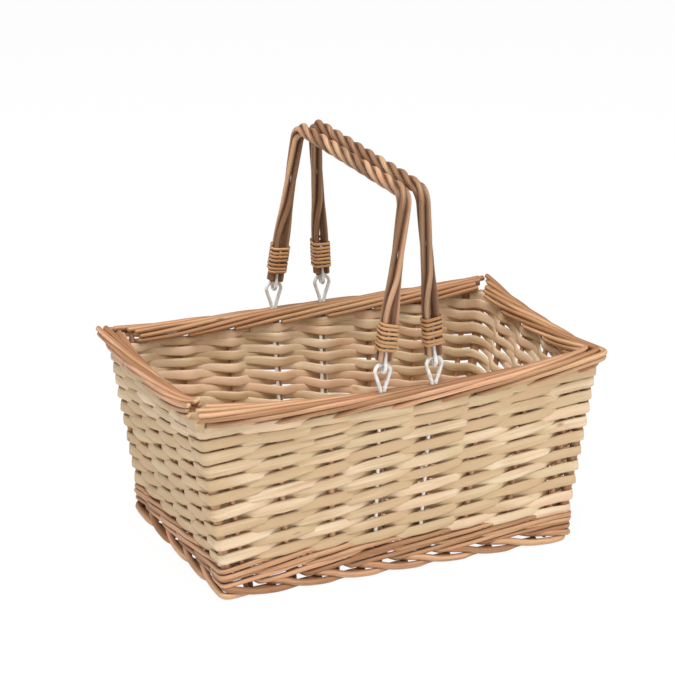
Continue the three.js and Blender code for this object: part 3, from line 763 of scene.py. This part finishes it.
def addWale():
    rng = np.random.default_rng(3)
    pile = RodPile()
    for roundIndex in range(wale["rounds"]):
        for r in range(3):
            start, end = r + wale["endGap"], r + unitCount - wale["endGap"]
            phase = np.arange(start, end, 1 / wale["ringsPerUnit"])
            count = len(phase)
            w = phaseToW(phase)
            stroke = np.mod(phase - r, 3)
            rise = np.interp(stroke, wale["strokeSteps"], wale["strokeRises"])
            rise = rise + wale["roundRise"] * roundIndex
            squeezed = 1 - (waleTop["height"] - waleTopAt(w)) / (wale["bandRods"] * wale["rodHeight"])
            z = wale["firstHeight"] + wale["rodHeight"] * rise * squeezed
            z = z + smoothNoise(rng, count, 8, 0.0003)
            out = weaveOffset(phase, lambda unit: (unit - r) % 3 != 0, wale["reach"])
            out = out + wale["lean"] * (1 - stroke / 1.5) + smoothNoise(rng, count, 6, 0.0002)
            whole = np.floor((phase - r) / 3).astype(int)
            tone = rng.normal(0, 0.45, 9)[whole] + smoothNoise(rng, count, 9, 0.12)
            size = rng.uniform(0.94, 1.05, 9)[whole]
            tall = wale["halfTall"] * size * (0.4 + 0.6 * squeezed)
            seed = 130 + 3 * roundIndex + r
            path = ringPoint(w, z, out)
            pile.add(path, outwardOn(w, z, out), wale["halfOut"] * size, tall, tone, seed, 10,
                     wale["squareness"])
    pile.build("wale_rods", "brown_willow", "basket", *["wale_" + name for name in sideNames])


addWale()

# Foot border: each rod comes out left of a stake, sinks to the floor and slips under the next one
foot = {
    "rings": 40,
    # Steps in units from a rod's own stake, heights and outs in millimetres
    "steps": [-0.46, -0.40, -0.30, -0.15, 0, 0.15, 0.3, 0.5, 0.75, 0.9, 1.0, 1.1, 1.2, 1.4, 1.7],
    "heights": [10.8, 10.7, 10.6, 10.2, 9.5, 7.4, 5.6, 4.3, 3.6, 3.4, 3.4, 3.4, 3.4, 3.4, 3.4],
    "outs": [-0.5, 1.8, 3.8, 5.6, 7.2, 8.4, 8.9, 9.0, 9.0, 8.4, 7.0, 5.2, 3.6, 1.8, 0],
    "radius": 0.0034,
    "cornerRound": 0.009,
}


def addFoot():
    rng = np.random.default_rng(5)
    pile = RodPile()
    for unit in range(unitCount):
        step = np.linspace(foot["steps"][0], foot["steps"][-1], foot["rings"])
        w = phaseToW(unit + step)
        z = np.interp(step, foot["steps"], foot["heights"]) / 1000
        out = np.interp(step, foot["steps"], foot["outs"]) / 1000
        for values in (z, out):
            values[1:-1] = (values[:-2] + 2 * values[1:-1] + values[2:]) / 4
        radius = foot["radius"] * rng.uniform(0.94, 1.03)
        z = np.maximum(z, radius + 0.0001)
        path = ringPoint(w, z, out, everywhere, foot["cornerRound"])
        outward = outwardOn(w, z, out, everywhere, foot["cornerRound"])
        tone = rng.normal(0, 0.4) + smoothNoise(rng, foot["rings"], 8, 0.15)
        pile.add(path, outward, radius, radius * 0.98, tone, 160 + unit, 10, cut=0.6)
    pile.build("foot_border_rods", "brown_willow", "basket")


addFoot()

# Rim: each stake's rod climbs the outside of the rim, crosses its top and sinks down the inside
rim = {
    "rings": 96,
    # In units from a rod's own stake: how far out from the middle, and above the weave's top
    "steps": [-0.1, 0.15, 0.55, 1.5, 2.5, 3.5, 4.5, 5.5, 6.5, 6.9],
    "outs": [0.0005, 0.0034, 0.0058, 0.0060, 0.0053, 0, -0.0053, -0.0063, -0.0061, -0.006],
    "rises": [-0.004, -0.0008, 0.0037, 0.0087, 0.0131, 0.0138, 0.0131, 0.0087, 0.0037, 0.002],
    "radius": 0.0028,
    "flare": 0.0055,  # the outer rods spread out at the corners
    "cornerRound": 0.009,
    # Runs between the corners where rods are cut off, and where outer and inner rods begin and end there
    "runs": [
        {"corners": (0, 2), "starts": (-1.0, -0.99), "ends": (1.02, 0.94), "lift": 0},
        {"corners": (2, 3), "starts": (-0.97, -0.99), "ends": (0.975, 0.93), "lift": 0},
        {"corners": (3, 4), "starts": (-1.03, -1.0), "ends": (0.93, 0.92), "lift": 0.006},
    ],
    "leads": 6,  # rods that begin at a run's first corner
}


def addRim():
    rng = np.random.default_rng(9)
    pile = RodPile()
    step = np.linspace(rim["steps"][0], rim["steps"][-1], rim["rings"])
    smooth = np.ones(7) / 7
    bent = {}
    for key in ("outs", "rises"):
        values = np.pad(np.interp(step, rim["steps"], rim[key]), 3, mode="edge")
        bent[key] = np.convolve(values, smooth, "valid")
    for run in rim["runs"]:
        low, high = run["corners"]
        begun = [unit for w, unit, corner, wired in uprights if low <= w < high and not corner]
        for unit in [*range(begun[0] - rim["leads"], begun[0]), *begun]:
            w = phaseToW(unit + step)
            out = bent["outs"] + smoothNoise(rng, len(step), 12, 0.00025)
            fromStart = 2 * (w - low) - 1 + rng.uniform(-0.008, 0.008)
            fromEnd = 2 * (w - high) + 1 + rng.uniform(-0.01, 0.01)
            isOuter = out > 0.002
            kept = fromStart >= np.where(isOuter, *run["starts"])
            kept = kept & (fromEnd <= np.where(isOuter, *run["ends"]))
            if kept.sum() < 6:
                continue
            whole = np.clip(np.floor(w), low, high - 1)
            t = 2 * (w - whole) - 1
            out = out + rim["flare"] * np.abs(t) ** 3 * np.clip((out + 0.002) / 0.008, 0, 1)
            z = weaveTopAt(t) + bent["rises"] + smoothNoise(rng, len(step), 12, 0.0003)
            z = z + run["lift"] * np.clip(fromEnd, 0, 1) ** 4
            w, z, out = w[kept], z[kept], out[kept]
            radius = rim["radius"] * rng.uniform(0.94, 1.03) * np.linspace(1.04, 0.93, len(w))
            tone = rng.normal(-0.35, 0.42) + smoothNoise(rng, len(w), 14, 0.15)
            path = ringPoint(w, z, out, (low, high), rim["cornerRound"])
            outward = outwardOn(w, z, out, (low, high), rim["cornerRound"])
            seed = 190 + pile.count % 977
            pile.add(path, outward, radius, radius * 0.97, tone, seed, 10, cut=0.35)
    nodes = [f"rim_{name}_{layer}" for name in sideNames for layer in ("outer", "inner")]
    pile.build("rim_border_rods", "brown_willow", "basket", *nodes)


addRim()

# Base: rods woven across seven sticks
base = {
    "sticks": 7,
    "spacing": 0.0305,
    "height": 0.021,
    "stickRadius": 0.0028,
    "rodRadius": 0.0018,
    "pitch": 0.0037,
    "swing": 0.003,  # how far the rods pass over and under the sticks
    "halfX": 0.1685,
    "halfY": 0.1048,
}


def addBase():
    rng = np.random.default_rng(21)
    nodes = [f"base_stick_{k + 1}" for k in range(base["sticks"])]
    pile = RodPile()
    upward = np.tile((0, 0, 1.0), (20, 1))
    for k, node in enumerate(nodes):
        low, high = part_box(node)
        x = np.linspace(low.x, high.x, 20)
        y = np.full(20, (k - (base["sticks"] - 1) / 2) * base["spacing"])
        path = np.column_stack([x, y, np.full(20, base["height"])])
        pile.add(path, upward, base["stickRadius"], base["stickRadius"], rng.normal(0, 0.3), 220 + k, 10)
    pile.build("base_sticks_rods", "stake_willow", "basket", *nodes)
    pile = RodPile()
    rows = int(2 * base["halfX"] / base["pitch"])
    y = np.linspace(-base["halfY"], base["halfY"], 64)
    upward = np.tile((0, 0, 1.0), (64, 1))
    for k in range(rows):
        x = (k - (rows - 1) / 2) * base["pitch"] + smoothNoise(rng, 64, 12, 0.0002)
        over = (1 if k % 2 else -1) * base["swing"] * np.cos(np.pi * y / base["spacing"])
        z = base["height"] + over + smoothNoise(rng, 64, 8, 0.0002)
        tone = rng.normal(0, 0.4) + smoothNoise(rng, 64, 12, 0.15)
        path = np.column_stack([x, y, z])
        pile.add(path, upward, base["rodRadius"] * 0.9, base["rodRadius"] * 1.02, tone, 230 + k, 7)
    pile.build("base_woven_rods", "pale_willow", "basket", "base_weave")


addBase()

# Hinge and handle values, as the solids have them
hinge = {
    "pivot": (0.0264119, 0.1330990, 0.2096176),
    "loopRadius": 0.008,
    "loopNeck": 0.0045,  # from a loop's legs to the stake between them
    "loopNeckAtRim": 0.0019,
    "loopEnd": 0.041,  # the height that its legs go down to
    "rimTop": 0.1906,
    "wireRadius": 0.0018,
    "eyeRadius": 0.005,
    "eyeNeck": 0.0017,
    "eyeLegEnd": 0.040,  # how far from the pivot an eye's legs end, between the rods
    "eyeSpread": 0.006,  # how far from the rods' ends they start to open into the eye
}


def smoothPath(points, spacing):
    points = np.asarray(points, float)
    for _ in range(2):
        before, after = points[:-1], points[1:]
        inner = np.stack([before * 0.75 + after * 0.25, before * 0.25 + after * 0.75], 1)
        points = np.vstack([points[:1], inner.reshape(-1, 3), points[-1:]])
    length = lengthAlong(points)
    stops = np.linspace(0, length[-1], max(int(length[-1] / spacing), 6))
    return np.column_stack([np.interp(stops, length, points[:, axis]) for axis in range(3)])


# Directions that stay square to a path and turn with it as little as they can
def carried(path, start):
    tangent = unit3(np.gradient(path, axis=0))
    found = [np.asarray(start, float)]
    for way in tangent[1:]:
        kept = found[-1] - way * found[-1].dot(way)
        found.append(kept / np.linalg.norm(kept))
    return np.array(found)


# Each loop's legs stand beside a stake and turn, below the rim, towards the wall's two faces
def addHingeLoops():
    pivotX, pivotY, pivotZ = hinge["pivot"]
    neck = hinge["loopNeck"]
    turned = neck / math.sqrt(2)
    for side, sideName in ((0, "front"), (2, "back")):
        for t in (-wall["spacing"][0] / 2, wall["spacing"][0] / 2):
            along = alongWay[side][0]

            def onWall(across, out, z):
                spot = sidePoint(np.array([side]), np.array([t]), np.array([z]), np.array([out]))[0]
                return spot + np.array([along * across, 0, 0])

            top = float(weaveTopAt(t))
            legs = []
            for way in (-1, 1):
                heights = np.linspace(hinge["loopEnd"], top - 0.017, 8)
                low = [onWall(way * turned, -way * turned, z) for z in heights]
                closeAt = (hinge["rimTop"] - 0.006, hinge["rimTop"] + 0.002)
                close = [onWall(way * hinge["loopNeckAtRim"], 0, z) for z in closeAt]
                legs.append(low + [onWall(way * neck, 0, top - 0.008)] + close)
            centre = np.array([along * np.sign(t) * pivotX, outWay[side][1] * pivotY, pivotZ])
            arch = [centre + hinge["loopRadius"] * np.array([along * math.cos(a), 0, math.sin(a)])
                    for a in np.linspace(np.pi, 0, 17)]
            path = smoothPath(legs[0] + arch + legs[1][::-1], 0.0016)
            pile = RodPile()
            pile.add(path, carried(path, (0, 1, 0)), hinge["wireRadius"], hinge["wireRadius"], 0, 0, 12)
            where = ("left" if t * along < 0 else "right") + "_" + sideName
            pile.build("hinge_wire_" + where, "coated_wire", "basket", "hinge_loop_" + where)


addHingeLoops()

handle = {
    "gripHeight": 0.379,  # upright
    "gripRestX": {"left": 0.001, "right": 0.016},  # at rest, each towards its own side
    "gripHalf": 0.126,
    "bendRadius": 0.014,
    "legEnd": 0.010,  # the rods end this far from the pivot
    "rodRadius": 0.0029,
    "twistRadius": 0.0041,
    "legTwist": 90,  # degrees
    "bendTwist": 45,
    "gripTwist": 810,
    "pairX": 0.0047,  # how far from its middle the four rods stand in the binding
    "pairY": 0.0032,
    "clasp": 0.050,  # they stay apart up to here, and have closed up after the fade
    "claspFade": 0.045,
}
caneWrap = {
    "width": 0.0031,
    "thickness": 0.0013,
    "pitch": 0.0039,
    "turns": 7,
    "gap": 0.00055,
    "start": 0.0195,  # from the pivot
    "tail": 0.003,
}

pivotX, pivotY, pivotZ = hinge["pivot"]
reach = handle["gripHeight"] - pivotZ
lean = {which: math.asin((pivotX - restX) / reach) for which, restX in handle["gripRestX"].items()}
legWay = np.array([pivotY - handle["gripHalf"], reach])
legWay = legWay / np.linalg.norm(legWay)
legSide = np.array([legWay[1], -legWay[0]])
legFoot = np.array([-pivotY, 0]) + legWay * handle["legEnd"]
bendAngle = math.pi / 2 - math.atan2(pivotY - handle["gripHalf"], reach)
setBack = handle["bendRadius"] * math.tan(bendAngle / 2)
legLength = float(np.linalg.norm(np.array([-handle["gripHalf"], reach]) - legFoot)) - setBack
bendLength = handle["bendRadius"] * bendAngle
gripLength = 2 * (handle["gripHalf"] - setBack)
handleLength = 2 * (legLength + bendLength) + gripLength


# Place and inward normal on a handle's centreline, in its plane (Y, away from the pivot)
def onCentreline(run):
    mirrored = run > handleLength / 2
    half = np.where(mirrored, handleLength - run, run)
    straight = legFoot + legWay * half[:, None]
    angle = np.clip((half - legLength) / handle["bendRadius"], 0, bendAngle)
    turned = np.column_stack([legSide[0] * np.cos(angle) + legSide[1] * np.sin(angle),
                              legSide[1] * np.cos(angle) - legSide[0] * np.sin(angle)])
    centre = legFoot + legWay * legLength + legSide * handle["bendRadius"]
    bend = centre - turned * handle["bendRadius"]
    past = half - legLength - bendLength
    grip = np.column_stack([-handle["gripHalf"] + setBack + past, np.full(len(run), reach)])
    place = np.where((past <= 0)[:, None], bend, grip)
    place = np.where((half <= legLength)[:, None], straight, place)
    flip = np.where(mirrored, -1, 1)[:, None] * np.array([[1, 0]]) + np.array([[0, 1]])
    return place * flip, turned * flip


def bundlePoint(run, across, inward):
    place, normal = onCentreline(run)
    y, z = place[:, 0] + normal[:, 0] * inward, place[:, 1] + normal[:, 1] * inward
    return np.column_stack([across, y, z])


# From a handle's own plane to its place at rest. The left handle is turned half round.
def handlePlace(points, which):
    x, y, z = points[:, 0], points[:, 1], points[:, 2]
    c, s = math.cos(lean[which]), math.sin(lean[which])
    leaned = np.column_stack([pivotX + x * c - z * s, y, pivotZ + x * s + z * c])
    return leaned if which == "right" else leaned * np.array([-1, -1, 1])


def twistAt(run):
    stops = np.cumsum([0, legLength, bendLength, gripLength, bendLength, legLength])
    leg, bend = handle["legTwist"], handle["bendTwist"]
    turns = np.cumsum([0, leg, bend, handle["gripTwist"], bend, leg])
    return np.interp(run, stops, turns)


# The left handle is turned half round, so what is its front end in its own plane is at the back
def endName(which, name):
    if which == "right":
        return name
    return "back" if name == "front" else "front"


def rodPath(run, index):
    fromPivot = np.minimum(run, handleLength - run) + handle["legEnd"]
    f = np.clip((fromPivot - handle["clasp"]) / handle["claspFade"], 0, 1)
    clasp = 1 - f * f * (3 - 2 * f)
    corner = math.radians(45 + 90 * index)
    angle = corner + np.radians(twistAt(run))
    across, inward = handle["twistRadius"] * np.cos(angle), handle["twistRadius"] * np.sin(angle)
    across = across * (1 - clasp) + math.copysign(handle["pairX"], math.cos(corner)) * clasp
    inward = inward * (1 - clasp) + math.copysign(handle["pairY"], math.sin(corner)) * clasp
    return bundlePoint(run, across, inward)


def addHandles():
    rng = np.random.default_rng(17)
    run = np.arange(0, handleLength, 0.0022)
    count = len(run)
    for which in ("left", "right"):
        middle = handlePlace(bundlePoint(run, np.zeros(count), np.zeros(count)), which)
        for index in range(4):
            path = handlePlace(rodPath(run, index), which)
            radius = handle["rodRadius"] * (1 + smoothNoise(rng, count, 14, 0.015))
            radius = radius * rng.uniform(0.97, 1.01)
            tone = rng.normal(-0.25, 0.4) + smoothNoise(rng, count, 20, 0.25)
            seed = 340 + index + (10 if which == "left" else 0)
            pile = RodPile()
            pile.add(path, path - middle, radius, radius, tone, seed, 12, cut=0.9)
            pile.build(f"{which}_handle_willow_{index + 1}", "brown_willow", which + "_handle",
                       f"{which}_handle_rod_{index + 1}", finish="handle_willow")


addHandles()


def addEyes():
    angle = np.linspace(0, np.pi, 17)
    legRun = np.array([hinge["eyeLegEnd"] - handle["legEnd"], hinge["eyeSpread"]])
    for which in ("left", "right"):
        for end, name in ((-1, "front"), (1, "back")):
            arc = np.column_stack([np.zeros(17), end * pivotY + hinge["eyeRadius"] * np.cos(angle),
                                   hinge["eyeRadius"] * (1 - np.sin(angle))])
            legs = []
            for way in (-end, end):
                leg = bundlePoint(legRun, np.zeros(2), hinge["eyeNeck"] * way)
                leg[:, 1] *= -end
                legs.append(leg)
            path = smoothPath(np.vstack([legs[0], arc, legs[1][::-1]]), 0.0012)
            path = handlePlace(path, which)
            where = which + "_" + endName(which, name)
            pile = RodPile()
            pile.add(path, carried(path, (1, 0, 0)), hinge["wireRadius"], hinge["wireRadius"], 0, 5, 12)
            pile.build(where + "_eye_wire", "coated_wire", which + "_handle", where + "_eye")


addEyes()


# The cane's way round the four rods, seen along the leg: place and outward direction, turn after turn
def windingRound():
    radius = handle["rodRadius"] + caneWrap["gap"] + caneWrap["thickness"] / 2
    corners = ((1, 1, 0), (-1, 1, 90), (-1, -1, 180), (1, -1, 270))
    places, normals = [], []
    for cornerX, cornerY, start in corners * caneWrap["turns"]:
        middle = np.array([cornerX * handle["pairX"], cornerY * handle["pairY"]])
        for a in np.radians(start + np.linspace(0, 90, 7)):
            normal = np.array([math.cos(a), math.sin(a)])
            places.append(middle + normal * radius)
            normals.append(normal)
    places, normals = np.array(places), np.array(normals)
    tail = [[0, caneWrap["tail"]]]
    places = np.vstack([places[:1] - tail, places, places[-1:] + tail])
    normals = np.vstack([normals[:1], normals, normals[-1:]])
    return places, normals


def addBindings():
    rng = np.random.default_rng(23)
    places, normals = windingRound()
    length = lengthAlong(places)
    total, tail = length[-1], caneWrap["tail"]
    stops = np.linspace(0, total, int(total / 0.0011))
    across, inward = (np.interp(stops, length, places[:, axis]) for axis in (0, 1))
    normal = unit3(np.column_stack([np.interp(stops, length, normals[:, axis]) for axis in (0, 1)]))
    climb = caneWrap["turns"] * caneWrap["pitch"] / (total - 2 * tail)
    level = caneWrap["start"] - handle["legEnd"] + (stops - tail) * climb
    for which in ("left", "right"):
        for end, name in ((-1, "front"), (1, "back")):
            run = level + smoothNoise(rng, len(level), 25, 0.00035)
            path = bundlePoint(run, across, inward)
            outer = bundlePoint(run, across + normal[:, 0] * 0.001, inward + normal[:, 1] * 0.001)
            outward = outer - path
            path[:, 1] *= -end
            outward[:, 1] *= -end
            tip = handlePlace(path + outward, which)
            path = handlePlace(path, which)
            tone = rng.normal(0, 0.3) + smoothNoise(rng, len(run), 30, 0.2)
            seed = 380 + (end > 0) + 2 * (which == "left")
            where = which + "_" + endName(which, name)
            halfOut, halfTall = caneWrap["thickness"] / 2, caneWrap["width"] / 2
            pile = RodPile()
            pile.add(path, tip - path, halfOut, halfTall, tone, seed, 8, 2.8, cut=0.5)
            pile.build(where + "_cane_wrap", "cane", which + "_handle", where + "_binding")


addBindings()
